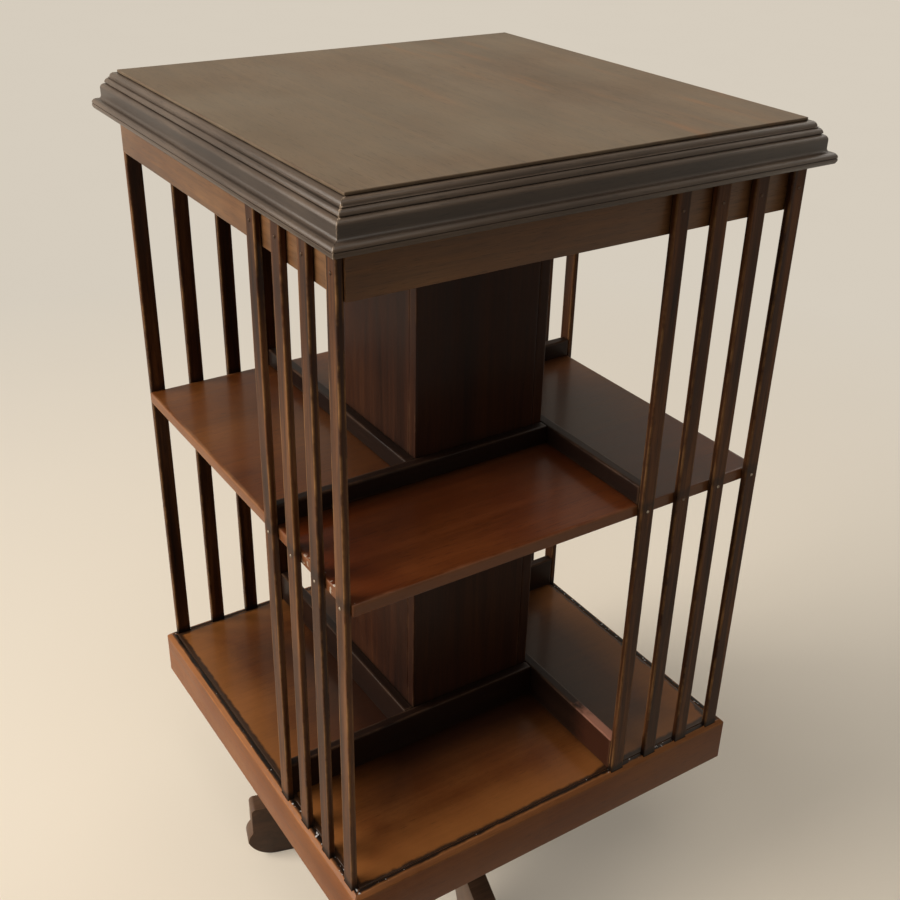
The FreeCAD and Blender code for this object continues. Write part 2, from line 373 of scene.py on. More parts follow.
def makeMahogany(name, grain, ownLook):
    look = {**mahogany, **ownLook}
    finish, tree = newFinish(name)
    place, drawn = grainPlace(tree, grain)
    figure = cloud(tree, drawn, look["figureScale"], *look["figureCloud"])
    streak = cloud(tree, drawn, look["streakScale"], *look["streakCloud"])
    pore = fade(tree, cloud(tree, drawn, look["poreScale"], look["poreDetail"]), *look["poreFade"])
    patina = fade(tree, cloud(tree, place, look["patinaScale"], *look["patinaCloud"]), *look["patinaFade"])
    mixed = plus(tree, times(tree, figure, look["figureShare"]), times(tree, streak, look["streakShare"]))
    spread = look["contrast"]
    stops = [(0.5 - spread, look["dark"]), (0.5, look["mid"]), (0.5 + spread, look["light"])]
    tone = colourRamp(tree, mixed, stops)
    tone = blendColour(tree, times(tree, pore, look["poreDepth"]), tone, look["dark"], "MULTIPLY")
    tone = blendColour(tree, patina, tone, look["patina"], "MULTIPLY")
    if "bloom" in look:
        haze = fade(tree, cloud(tree, place, look["bloomScale"], *look["bloomCloud"]), *look["bloomFade"])
        tone = blendColour(tree, times(tree, haze, look["bloomAmount"]), tone, look["bloom"])
    wear = addNode(tree, "Attribute", attribute_name="wear").outputs["Fac"]
    rub = cloud(tree, place, look["wearScale"], *look["wearCloud"])
    wear = times(tree, wear, fade(tree, rub, look["wearStart"], look["wearStart"] + look["wearFade"]))
    tone = blendColour(tree, wear, tone, look["worn"])
    # Dirt and painted shade: ambient occlusion darkens the colour in creases and where parts meet
    shade = addNode(tree, "AmbientOcclusion", {"Distance": look["grimeAndShadeReach"]}, samples=look["grimeAndShadeSamples"])
    dirtAndShade = minus(tree, 1.0, shade.outputs["AO"])
    dirtAndShade = fade(tree, dirtAndShade, look["grimeAndShadeStart"], look["grimeAndShadeStart"] + look["grimeAndShadeFade"])
    dirtAndShade = times(tree, dirtAndShade, fade(tree, rub, *look["grimeAndShadePatches"]), look["grimeAndShadeAmount"])
    tone = blendColour(tree, dirtAndShade, tone, look["grimeAndShade"])
    for mark in look.get("marks", []):
        tone = mark(tree, place, tone)
    rough = plus(tree, look["roughness"], times(tree, streak, look["streakRoughness"]))
    rough = plus(tree, rough, times(tree, wear, look["wearRoughness"]), clamp=True)
    height = plus(tree, times(tree, streak, look["streakRelief"]), times(tree, pore, look["poreRelief"]))
    bump = addNode(tree, "Bump", {"Strength": look["bump"], "Distance": look["bumpHeight"], "Height": height})
    closeFinish(tree, {"Base Color": tone, "Roughness": rough, "Normal": bump.outputs[0],
                       "Coat Weight": look["coat"], "Coat Roughness": look["coatRoughness"],
                       "Specular IOR Level": look["specular"]})
    return finish


topLook = {
    "dark": paint(76, 60, 46), "mid": paint(115, 96, 76), "light": paint(141, 119, 94),
    "patina": paint(226, 221, 214), "worn": paint(102, 85, 70), "wearStart": 0.35,
    "bloom": paint(127, 117, 100), "bloomScale": 5, "bloomAmount": 0.46,
    "roughness": 0.48, "coat": 0.1, "coatRoughness": 0.4, "specular": 0.16, "contrast": 0.34,
}
mouldingLook = {
    "dark": paint(59, 49, 41), "mid": paint(92, 78, 66), "light": paint(117, 100, 85),
    "patina": paint(206, 196, 190), "worn": paint(128, 107, 92), "wearStart": 0.46,
    # The occlusion darkening, dirt and painted shade, starts at less occlusion in the moulding's grooves
    "roughness": 0.34, "coat": 0.22, "coatRoughness": 0.3, "grimeAndShadeStart": 0.1,
}
friezeLook = {
    "dark": paint(82, 55, 34), "mid": paint(127, 92, 60), "light": paint(156, 115, 77),
    "patina": paint(212, 196, 184), "worn": paint(128, 92, 64), "wearStart": 0.52,
    "roughness": 0.34, "coat": 0.12,
}
slatLook = {
    "dark": paint(35, 20, 13), "mid": paint(80, 49, 29), "light": paint(130, 86, 52),
    "patina": paint(204, 192, 182), "worn": paint(142, 104, 66), "wearStart": 0.42,
    "roughness": 0.38, "coat": 0.05, "specular": 0.12, "contrast": 0.17, "figureScale": 70,
}
shelfLook = {
    "dark": paint(70, 37, 16), "mid": paint(114, 67, 30), "light": paint(146, 91, 46),
    "patina": paint(212, 182, 164), "worn": paint(140, 96, 62), "wearStart": 0.42,
    "roughness": 0.36, "coatRoughness": 0.16, "coat": 0.22, "specular": 0.14, "contrast": 0.42,
}
# Painted shade: the column's colours are made darker for the shade deep in the bays, and the stops' darker
# still
shadedColumnLook = {
    "dark": paint(29, 14, 7), "mid": paint(49, 26, 14), "light": paint(70, 40, 21),
    "patina": paint(202, 180, 168), "worn": paint(80, 54, 36), "wearStart": 0.5,
    "roughness": 0.4, "coat": 0.05, "specular": 0.13,
}
shadedStopLook = dict(shadedColumnLook, dark=paint(22, 11, 6), mid=paint(35, 19, 11), light=paint(52, 31, 19),
                worn=paint(80, 56, 39), wearStart=0.38)
plinthLook = {
    "dark": paint(96, 54, 24), "mid": paint(132, 80, 41), "light": paint(154, 98, 54),
    "patina": paint(222, 206, 192), "worn": paint(164, 108, 62), "wearStart": 0.4,
    "roughness": 0.38, "coat": 0.08, "specular": 0.14, "contrast": 0.3,
}
bareLook = {
    "dark": paint(58, 38, 24), "mid": paint(86, 58, 38), "light": paint(110, 78, 52),
    "patina": paint(206, 192, 178), "worn": paint(104, 76, 54), "wearStart": 0.5,
    "bloom": paint(104, 84, 64), "bloomScale": 12, "bloomAmount": 0.4,
    "roughness": 0.72, "coat": 0.0, "specular": 0.1, "contrast": 0.3,
}
baseLook = {
    "dark": paint(50, 34, 25), "mid": paint(84, 60, 45), "light": paint(112, 82, 62),
    "patina": paint(205, 194, 184), "worn": paint(150, 116, 88), "wearStart": 0.42,
    "bloom": paint(112, 90, 72), "bloomScale": 14, "bloomAmount": 0.3,
    "roughness": 0.42, "coat": 0.15, "coatRoughness": 0.3,
}
blockLook = {
    "dark": paint(120, 88, 58), "mid": paint(150, 114, 78), "light": paint(176, 138, 98),
    "patina": paint(210, 196, 178), "worn": paint(180, 146, 108), "wearStart": 0.5,
    "roughness": 0.6, "coat": 0.0,
}


# Marks of use, each at its own place on the case. Places are in metres from the axis and the floor.
def chippedMitres(tree, place, tone):
    # Pale broken wood where the moulding's mitres have been knocked, most at the front left corner
    chips = {"ragged": (260, 3.0, 0.7), "width": 0.0034, "depth": (0.0003, 0.0014), "patches": (95, 2.0),
             "patchFade": (0.44, 0.58), "frontLeft": (-0.40, -0.455), "more": 0.8, "least": 0.12,
             "colour": paint(176, 156, 136)}
    axes = axesOf(tree, place)
    across = absolute(tree, minus(tree, absolute(tree, axes["X"]), absolute(tree, axes["Y"])))
    line = minus(tree, times(tree, cloud(tree, place, *chips["ragged"]), chips["width"]), across)
    corner = fade(tree, plus(tree, axes["X"], axes["Y"]), *chips["frontLeft"])
    patchy = fade(tree, cloud(tree, place, *chips["patches"]), *chips["patchFade"])
    weight = times(tree, plus(tree, times(tree, corner, chips["more"]), chips["least"]), patchy)
    chip = times(tree, fade(tree, line, *chips["depth"]), weight)
    return blendColour(tree, chip, tone, chips["colour"])


def paintedHollowShade(tree, place, tone):
    # Painted shade: a dark band over the wide flat and the hollow of the moulding, where shade falls
    hollow = {"lower": (0.031, 0.027), "upper": (0.0165, 0.0185), "amount": 0.48, "colour": paint(38, 33, 31)}
    height = axesOf(tree, place)["Z"]
    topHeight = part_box("top_panel")[1].z
    above, below = (fade(tree, height, topHeight - hollow[end][0], topHeight - hollow[end][1])
                    for end in ("lower", "upper"))
    return blendColour(tree, times(tree, above, below, hollow["amount"]), tone, hollow["colour"])


def plinthEdge(tree, place, tone):
    # Painted highlight: the chamfer painted a lighter orange where it catches the light, and the ledge behind
    # it black with old wax and dust
    litChamfer = {"ragged": (34, 3.0, 0.6), "raggedHeight": 0.012, "start": 0.015, "end": 0.008, "amount": 0.42,
               "colour": paint(158, 104, 60)}
    ledge = {"levelFade": (0.9, 0.97), "left": (-0.228, -0.232), "leftAmount": 0.42,
             "wax": (60, 4.0, 0.6), "waxFade": (0.3, 0.62), "waxAmount": 0.5, "colour": paint(40, 31, 28)}
    joint = {"fade": (0.2345, 0.2328), "waxWidth": 0.0012, "feetWidth": 0.0026, "amount": 0.95,
             "colour": paint(14, 11, 10)}
    crumbs = {"grains": (230, 1.0), "least": 0.73, "more": 0.11, "atFeet": (0.062, 0.075), "feetAmount": 0.6,
              "atFront": (-0.06, -0.09), "colour": paint(190, 188, 188)}
    facing = axesOf(tree, addNode(tree, "NewGeometry").outputs["True Normal"])["Z"]
    axes = axesOf(tree, place)
    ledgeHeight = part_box("bottom_board")[1].z
    # The chamfer's painted highlight
    ragged = times(tree, cloud(tree, place, *litChamfer["ragged"]), litChamfer["raggedHeight"])
    wornAndLit = fade(tree, minus(tree, axes["Z"], ragged), ledgeHeight - litChamfer["start"],
                  ledgeHeight - litChamfer["end"])
    tone = blendColour(tree, times(tree, wornAndLit, litChamfer["amount"]), tone, litChamfer["colour"])
    level = fade(tree, facing, *ledge["levelFade"])
    leftSide = fade(tree, axes["X"], *ledge["left"])
    wax = fade(tree, cloud(tree, place, *ledge["wax"]), *ledge["waxFade"])
    amount = plus(tree, times(tree, leftSide, ledge["leftAmount"]), times(tree, wax, ledge["waxAmount"]))
    tone = blendColour(tree, times(tree, level, amount), tone, ledge["colour"])
    nearFeet = fade(tree, axes["X"], *crumbs["atFeet"])
    reach = minus(tree, fromAxis(tree, axes), times(tree, wax, joint["waxWidth"]))
    reach = minus(tree, reach, times(tree, nearFeet, wax, joint["feetWidth"]))
    jointLine = times(tree, level, fade(tree, reach, *joint["fade"]), joint["amount"])
    tone = blendColour(tree, jointLine, tone, joint["colour"])
    atFront = times(tree, leftSide, fade(tree, axes["Y"], *crumbs["atFront"]))
    many = plus(tree, atFront, times(tree, nearFeet, crumbs["feetAmount"]))
    rare = minus(tree, crumbs["least"], times(tree, many, crumbs["more"]))
    crumb = calc(tree, "GREATER_THAN", cloud(tree, place, *crumbs["grains"]), rare)
    return blendColour(tree, times(tree, level, crumb), tone, crumbs["colour"])


def deckRim(tree, place, tone):
    # Both boards darken towards the column, painted shade in the bays. The bottom board has a painted strip
    # of light along its edge and a dirty rim, the right bays painted shade and grey reflection, and the
    # middle shelf a front bay painted darker and redder as shadow, a paler outer edge and a chipped left end.
    tiers = {"split": 0.3, "ragged": (90, 4.0, 0.6), "raggedWidth": 0.006}
    recessShade = {"ragged": 3.0, "fade": (0.215, 0.115), "shelf": 0.56, "deck": 0.36, "colour": paint(34, 16, 8)}
    shadedRedBay = {"fade": (-0.09, -0.1), "amount": 0.6, "colour": paint(196, 138, 124)}
    rightBayShadeAndSheen = {"start": (0.086, 0.1), "end": (0.235, 0.165), "amount": 0.55, "colour": paint(50, 38, 31)}
    outer = {"start": 0.0012, "end": 0.0002, "amount": 0.42, "colour": paint(146, 98, 62)}
    litStrip = {"width": 0.05, "amount": 0.45, "colour": paint(170, 112, 60)}
    rim = {"width": 0.002, "left": (-0.21, -0.225), "leftWidth": 0.003, "feet": (0.055, 0.075),
           "front": (-0.2, -0.21), "feetWidth": 0.004, "past": 0.0005, "fade": 0.003, "amount": 0.9,
           "colour": paint(24, 17, 14)}
    chips = {"left": (-0.2265, -0.2285), "front": (-0.13, -0.16), "grains": (190, 2.0), "over": 0.6,
             "colour": paint(184, 172, 158)}
    axes = axesOf(tree, place)
    edge = fromAxis(tree, axes)
    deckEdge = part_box("bottom_board")[1].x
    low = calc(tree, "LESS_THAN", axes["Z"], tiers["split"])
    high = minus(tree, 1.0, low)
    ragged = times(tree, cloud(tree, place, *tiers["ragged"]), tiers["raggedWidth"])
    # Painted shade, darkest by the column
    inner = fade(tree, plus(tree, edge, times(tree, ragged, recessShade["ragged"])), *recessShade["fade"])
    depth = plus(tree, recessShade["shelf"], times(tree, low, recessShade["deck"]))
    tone = blendColour(tree, times(tree, inner, depth), tone, recessShade["colour"])
    # Painted shadow: the front bay of the middle shelf darker and redder
    red = times(tree, fade(tree, axes["Y"], *shadedRedBay["fade"]), high, shadedRedBay["amount"])
    tone = blendColour(tree, red, tone, shadedRedBay["colour"], "MULTIPLY")
    # Painted shade and painted grey reflection over the right bay of both boards
    dull = times(tree, fade(tree, axes["X"], *rightBayShadeAndSheen["start"]), fade(tree, axes["X"], *rightBayShadeAndSheen["end"]))
    tone = blendColour(tree, times(tree, dull, rightBayShadeAndSheen["amount"]), tone, rightBayShadeAndSheen["colour"])
    ochre = times(tree, high, fade(tree, edge, deckEdge - outer["start"], deckEdge - outer["end"]))
    tone = blendColour(tree, times(tree, ochre, outer["amount"]), tone, outer["colour"])
    raggedEdge = plus(tree, edge, ragged)
    # Painted light: a lighter strip along the outer edge of the bottom board
    wornAndLit = times(tree, fade(tree, raggedEdge, deckEdge - litStrip["width"], deckEdge), low, litStrip["amount"])
    tone = blendColour(tree, wornAndLit, tone, litStrip["colour"])
    nearFeet = times(tree, fade(tree, axes["X"], *rim["feet"]), fade(tree, axes["Y"], *rim["front"]))
    leftSide = fade(tree, axes["X"], *rim["left"])
    width = plus(tree, rim["width"], times(tree, leftSide, rim["leftWidth"]))
    width = plus(tree, width, times(tree, nearFeet, rim["feetWidth"]))
    start = minus(tree, deckEdge + rim["past"], width)
    dirtAndShade = times(tree, fade(tree, raggedEdge, start, plus(tree, start, rim["fade"])), low, rim["amount"])
    tone = blendColour(tree, dirtAndShade, tone, rim["colour"])
    corner = times(tree, fade(tree, axes["X"], *chips["left"]), fade(tree, axes["Y"], *chips["front"]), high)
    chip = calc(tree, "GREATER_THAN", cloud(tree, place, *chips["grains"]), chips["over"])
    return blendColour(tree, times(tree, corner, chip), tone, chips["colour"])


def stopShadeAndLitPatch(tree, place, tone):
    # Painted shade darkens the stops towards the column, and a painted patch of light lies on the front end
    # of the lower right one, pale on top and lighter down its sides
    recessShade = {"fade": (0.2, 0.1), "amount": 0.55, "colour": paint(16, 8, 5)}
    wornAndLit = {"ragged": (120, 3.0, 0.6), "raggedLength": 0.03, "front": (-0.15, -0.175), "right": 0.07,
              "over": 0.01, "side": paint(92, 50, 32), "sideAmount": 0.36, "start": 0.0022, "end": 0.0006,
              "top": paint(164, 114, 94)}
    axes = axesOf(tree, place)
    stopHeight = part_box("lower_stop_right")[1].z
    # Painted shade towards the column
    inner = fade(tree, fromAxis(tree, axes), *recessShade["fade"])
    tone = blendColour(tree, times(tree, inner, recessShade["amount"]), tone, recessShade["colour"])
    # Painted light patch
    ragged = times(tree, cloud(tree, place, *wornAndLit["ragged"]), wornAndLit["raggedLength"])
    near = fade(tree, plus(tree, axes["Y"], ragged), *wornAndLit["front"])
    near = times(tree, near, calc(tree, "GREATER_THAN", axes["X"], wornAndLit["right"]))
    near = times(tree, near, calc(tree, "LESS_THAN", axes["Z"], stopHeight + wornAndLit["over"]))
    onTop = fade(tree, axes["Z"], stopHeight - wornAndLit["start"], stopHeight - wornAndLit["end"])
    tone = blendColour(tree, times(tree, near, wornAndLit["sideAmount"]), tone, wornAndLit["side"])
    return blendColour(tree, times(tree, near, onTop), tone, wornAndLit["top"])


def warmStreaks(tree, place, tone):
    # Faint orange-brown streaks where the polish has gone thin on the right part of the top
    warm = {"squeeze": (1.0, 0.07, 1.0), "streaks": (46, 3.0, 0.6), "streakFade": (0.54, 0.68),
            "patches": (9, 2.0), "patchFade": (0.42, 0.6), "right": (-0.06, 0.1), "amount": 0.5,
            "colour": paint(146, 104, 68)}
    drawn = addNode(tree, "Mapping", {"Vector": place, "Scale": warm["squeeze"]}).outputs[0]
    streak = fade(tree, cloud(tree, drawn, *warm["streaks"]), *warm["streakFade"])
    patch = fade(tree, cloud(tree, place, *warm["patches"]), *warm["patchFade"])
    right = fade(tree, axesOf(tree, place)["X"], *warm["right"])
    return blendColour(tree, times(tree, streak, patch, right, warm["amount"]), tone, warm["colour"])


def dirtyFeet(tree, place, tone):
    # Dirt gathered where the slats stand on the plinth and cross the middle shelf
    dirtAndShade = {"ragged": (130, 3.0, 0.6), "raggedHeight": 0.016, "footStart": 0.003, "footEnd": -0.004,
            "footAmount": 0.9, "footColour": paint(16, 13, 12), "crossingFade": (0.001, -0.006),
            "crossingAmount": 0.55, "crossingColour": paint(22, 17, 15)}
    height = axesOf(tree, place)["Z"]
    ragged = times(tree, cloud(tree, place, *dirtAndShade["ragged"]), dirtAndShade["raggedHeight"])
    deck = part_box("bottom_board")[1].z
    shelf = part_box("middle_shelf")[1].z
    foot = fade(tree, minus(tree, height, ragged), deck + dirtAndShade["footStart"], deck + dirtAndShade["footEnd"])
    tone = blendColour(tree, times(tree, foot, dirtAndShade["footAmount"]), tone, dirtAndShade["footColour"])
    away = absolute(tree, minus(tree, height, shelf))
    crossing = fade(tree, minus(tree, away, ragged), *dirtAndShade["crossingFade"])
    return blendColour(tree, times(tree, crossing, dirtAndShade["crossingAmount"]), tone, dirtAndShade["crossingColour"])


topLook["marks"] = [warmStreaks]
shadedStopLook["marks"] = [stopShadeAndLitPatch]
mouldingLook["marks"] = [paintedHollowShade, chippedMitres]
plinthLook["marks"] = [plinthEdge]
slatLook["marks"] = [dirtyFeet]
shelfLook["marks"] = [deckRim]
finishes = {}
roundLooks = {"moulding": mouldingLook, "frieze": friezeLook, "plinth": plinthLook, "stop": shadedStopLook}
for kind, look in roundLooks.items():
    for grain in "xy":
        finishes[kind + grain] = makeMahogany(kind + "Mahogany_" + grain, grain, look)
finishes["top"] = makeMahogany("topMahogany", "y", topLook)
finishes["shelf"] = makeMahogany("shelfMahogany", "x", shelfLook)
finishes["slat"] = makeMahogany("slatMahogany", "z", slatLook)
finishes["column"] = makeMahogany("shadedColumnMahogany", "z", shadedColumnLook)
finishes["base"] = makeMahogany("baseMahogany", "x", baseLook)
finishes["bare"] = makeMahogany("bareMahogany", "x", bareLook)
finishes["bareTop"] = makeMahogany("bareMahoganyTop", "y", bareLook)
finishes["block"] = makeMahogany("gluedPine", "z", blockLook)
print("wood mixed,", len(finishes), "finishes")


# Metal of the pins and of the hidden working parts
metal = {"spotCloud": (4.0, 0.6), "spotFade": (0.42, 0.66), "spotRoughness": 0.25, "fineTimes": 14,
         "fineDetail": 2.0, "bump": 0.15, "bumpHeight": 0.0002}


def makeMetal(name, bright, dull, roughness, scale, tarnishHeight=None):
    # Above the tarnish height, where there is one, the metal is dull all over
    finish, tree = newFinish(name)
    place = addNode(tree, "TexCoord").outputs["Object"]
    spots = cloud(tree, place, scale, *metal["spotCloud"])
    fine = cloud(tree, place, scale * metal["fineTimes"], metal["fineDetail"])
    tone = blendColour(tree, fade(tree, spots, *metal["spotFade"]), bright, dull)
    if tarnishHeight:
        high = calc(tree, "GREATER_THAN", axesOf(tree, place)["Z"], tarnishHeight)
        tone = blendColour(tree, high, tone, dull)
    rough = plus(tree, times(tree, spots, metal["spotRoughness"]), roughness, clamp=True)
    bump = addNode(tree, "Bump", {"Strength": metal["bump"], "Distance": metal["bumpHeight"], "Height": fine})
    closeFinish(tree, {"Base Color": tone, "Metallic": 1.0, "Roughness": rough, "Normal": bump.outputs[0]})
    return finish


finishes["post"] = makeMetal("greasedSteel", paint(170, 168, 164), paint(96, 88, 78), 0.25, 90)
finishes["iron"] = makeMetal("blackedIron", paint(46, 44, 43), paint(66, 50, 40), 0.45, 120)
finishes["brass"] = makeMetal("turnedBrass", paint(196, 160, 96), paint(120, 92, 54), 0.22, 150)
finishes["pin"] = makeMetal("brightPin", paint(156, 146, 132), paint(76, 60, 50), 0.46, 70, 0.7)
finishes["screw"] = makeMetal("dullScrew", paint(150, 144, 136), paint(92, 80, 68), 0.35, 200)


def topPanel():
    # The lip that shows, with the core below it that sits inside the moulding
    top = {"lip": 0.003, "tongue": 0.0065, "arris": 0.0011, "rim": 0.004}
    coreLow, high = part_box("top_panel")
    low = Vector((coreLow.x, coreLow.y, high.z - top["lip"]))
    panel = makeBoard("topPanel", low, high, top["arris"], top["rim"])
    edge = top["tongue"]
    core = addBlock("topCore", Vector((coreLow.x + edge, coreLow.y + edge, coreLow.z)),
                    Vector((high.x - edge, high.y - edge, low.z + tiny)))
    joinPieces([panel, core], "topPanel")
    install(panel, "case", "mahogany_top", finishes["top"], "top_panel", below=finishes["bareTop"])


topPanel()
print("top panel done")


# Rails with a worked section
railReach = 0.3         # metres each way, longer than any rail before its mitres are cut


def bendPoints(start, heading, end, count):
    # Points of the circle that leaves start along the heading and reaches end
    chord = end - start
    side = chord - heading * chord.dot(heading)
    side.normalize()
    centre = start + side * (chord.length_squared / (2 * chord.dot(side)))
    first = start - centre
    last = end - centre
    axis = first.cross(last)
    full = first.angle(last)
    turns = [Matrix.Rotation(full * step / count, 3, axis) for step in range(1, count + 1)]
    return [centre + turn @ first for turn in turns]


def makeRail(name, section, gap):
    # A front rail with the given section, extruded along the face and mitred at both ends
    mesh = bpy.data.meshes.new(name)
    points = [Vector((-railReach, point.y, point.z)) for point in section]
    mesh.from_pydata(points, [], [range(len(points))])
    rail = bpy.data.objects.new(name, mesh)
    bpy.context.collection.objects.link(rail)
    openPiece(rail, "face")
    bpy.ops.mesh.select_all(action="SELECT")
    bpy.ops.mesh.extrude_region_move(TRANSFORM_OT_translate={"value": (2 * railReach, 0, 0)})
    for hand in (1, -1):
        bpy.ops.mesh.select_all(action="SELECT")
        bpy.ops.mesh.bisect(plane_co=(hand * gap, 0, 0), plane_no=(hand, -1, 0), use_fill=True,
                            clear_inner=True)
    bpy.ops.mesh.select_all(action="SELECT")
    bpy.ops.mesh.normals_make_consistent(inside=False)
    closePiece()
    return rail


def grainAlong(side):
    return "x" if side in ("front", "back") else "y"


def allRound(piece, kind):
    # The front piece and its three turned copies, each on its own side
    for side, degrees in sideAngles.items():
        name = kind + side.capitalize()
        other = piece if side == "front" else turnedCopy(piece, name, degrees)
        other.name = name
        install(other, "case", "mahogany_" + kind, finishes[kind + grainAlong(side)], kind + "_" + side)


def mouldingRails():
    # The steps give each form's run outwards and its drop, in millimetres, from the top down
    moulding = {
        "lip": 0.003, "tongue": 0.0085, "start": 0.0015, "coreDrop": 0.012, "arris": 0.0004, "gap": 0.00012,
        "steps": [("round", 2.6, 4.2), ("flat", 1.6, 0.5), ("groove", 0.9, 0.8), ("round", 2.6, 4.4),
                  ("groove", 0.9, 0.8), ("round", 3.7, 4.8), ("flat", 0.0, 7.0), ("hollow", 4.0, 3.3),
                  ("round", 3.5, 4.5), ("groove", 0.7, 0.7), ("flat", 0.0, 2.0), ("flat", -1.2, 2.5)],
        "grooveFloor": (0.3, 0.7), "roundPoints": 7, "hollowPoints": 6,
    }
    up = Vector((0, 0, 1))
    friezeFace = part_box("frieze_front")[0].y
    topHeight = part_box("top_panel")[1].z
    here = Vector((0, friezeFace - moulding["start"], topHeight - moulding["lip"]))
    inner = friezeFace + moulding["tongue"]
    coreLow = topHeight - moulding["coreDrop"]
    section = [Vector((0, inner, coreLow)), Vector((0, inner, here.z)), here.copy()]
    for form, out, drop in moulding["steps"]:
        end = here + Vector((0, -out, -drop)) / 1000
        if form == "groove":
            end.y = here.y
            for share in moulding["grooveFloor"]:
                section.append(here + Vector((0, out, -share * drop)) / 1000)
            section.append(end)
        elif form == "round":
            points = bendPoints(end, up, here, moulding["roundPoints"])
            section += points[-2::-1] + [end]
        elif form == "hollow":
            section += bendPoints(here, -up, end, moulding["hollowPoints"])
        else:
            section.append(end)
        here = end
    section += [Vector((0, friezeFace, here.z)), Vector((0, friezeFace, coreLow))]
    rail = makeRail("moulding", section, moulding["gap"])
    easeEdges(rail, moulding["arris"], 2)
    allRound(rail, "moulding")


def friezeRails():
    frieze = {"thickness": 0.016, "arris": 0.0008, "gap": 0.00012}
    low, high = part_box("frieze_front")
    inner = low.y + frieze["thickness"]
    section = [Vector((0, low.y, low.z)), Vector((0, low.y, high.z)), Vector((0, inner, high.z)),
               Vector((0, inner, low.z))]
    rail = makeRail("frieze", section, frieze["gap"])
    easeEdges(rail, frieze["arris"])
    allRound(rail, "frieze")


def plinthRails():
    plinth = {"thickness": 0.018, "bevel": 0.004, "arris": 0.0009, "gap": 0.00012, "notchGap": 0.00025}
    low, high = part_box("plinth_front")
    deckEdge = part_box("bottom_board")[0].y
    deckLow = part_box("bottom_board")[0].z
    inner = low.y + plinth["thickness"]
    section = [Vector((0, inner, low.z)), Vector((0, low.y, low.z)),
               Vector((0, low.y, high.z - plinth["bevel"])), Vector((0, low.y + plinth["bevel"], high.z)),
               Vector((0, deckEdge, high.z)), Vector((0, deckEdge, deckLow)), Vector((0, inner, deckLow))]
    rail = makeRail("plinth", section, plinth["gap"])
    easeEdges(rail, plinth["arris"])
    for number in slatNumbers:
        slatLow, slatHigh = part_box("slat_front_{}".format(number))
        slack = Vector((1, 1, 1)) * plinth["notchGap"]
        cutWith(rail, addBlock("notch", slatLow - slack, slatHigh + slack))
    smoothPiece(rail)
    allRound(rail, "plinth")


mouldingRails()
friezeRails()
plinthRails()
print("moulding, frieze and plinth rails done")


# Flat boards
def holedBoard(name, low, high, hole, arris, rim):
    # A square board with a square opening: rim, then the opening inset, dropped and bridged
    board = makeBoard(name, low, high, arris, rim)
    inside = (high.x - low.x) / 2 - rim - hole

    def isMain(face):
        onLevel = min(abs(face.center.z - level) for level in (low.z, high.z)) < tiny
        return onLevel and abs(face.normal.z) > levelNormal and face.area > (high.x - low.x) ** 2 / 2

    pick(board, "face", isMain)
    bpy.ops.mesh.inset(thickness=inside, use_individual=True)
    bpy.ops.mesh.delete(type="FACE")
    closePiece()

    def onHole(edge):
        places = [board.data.vertices[index].co for index in edge.vertices]
        return all(max(abs(place.x), abs(place.y)) < hole + 2 * tiny for place in places)

    pick(board, "edge", onHole)
    bpy.ops.mesh.bridge_edge_loops()
    closePiece()
    board.data.attributes.remove(board.data.attributes["wear"])
    wearBoard(board, low, high, rim)
    smoothPiece(board)
    return board


def shelves():
    shelf = {"arris": 0.0014, "rim": 0.004, "columnHalf": 0.076}
    low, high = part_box("middle_shelf")
    board = holedBoard("middleShelf", low, high, shelf["columnHalf"], shelf["arris"], shelf["rim"])
    install(board, "case", "mahogany_shelf", finishes["shelf"], "middle_shelf", below=finishes["bare"])
    deck = {"arris": 0.0007, "rim": 0.004, "bossHalf": 0.0152, "slack": 0.0003}
    low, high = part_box("bottom_board")
    slack = Vector((deck["slack"], deck["slack"], 0))
    board = holedBoard("bottomBoard", low + slack, high - slack, deck["bossHalf"], deck["arris"], deck["rim"])
    install(board, "case", "mahogany_shelf", finishes["shelf"], "bottom_board", below=finishes["bare"])


def uprightBoards():
    column = {"arris": 0.0009, "stopArris": 0.0012, "rim": 0.003}
    for side in sideAngles:
        node = "column_" + side
        board = makeBoard("column" + side.capitalize(), *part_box(node), column["arris"], column["rim"])
        install(board, "case", "mahogany_column", finishes["column"], node)
        for tier in ("lower", "upper"):
            node = tier + "_stop_" + side
            name = tier + "Stop" + side.capitalize()
            stop = makeBoard(name, *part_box(node), column["stopArris"], column["rim"])
            install(stop, "case", "mahogany_stop", finishes["stop" + grainAlong(side)], node)


def slats():
    slat = {"arris": 0.0013, "rim": 0.003}
    low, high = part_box("slat_front_1")
    first = makeBoard("slat", low, high, slat["arris"], slat["rim"])
    for side, degrees in sideAngles.items():
        for number in slatNumbers:
            other = freshCopy(first, "slat{}{}".format(side.capitalize(), number))
            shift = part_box("slat_front_{}".format(number))[0] - low
            other.data.transform(Matrix.Translation(shift))
            turnMesh(other, degrees)
            install(other, "case", "mahogany_slat", finishes["slat"], "slat_{}_{}".format(side, number))
    bpy.data.objects.remove(first)


shelves()
uprightBoards()
slats()
print("shelves, column, stops and slats done")


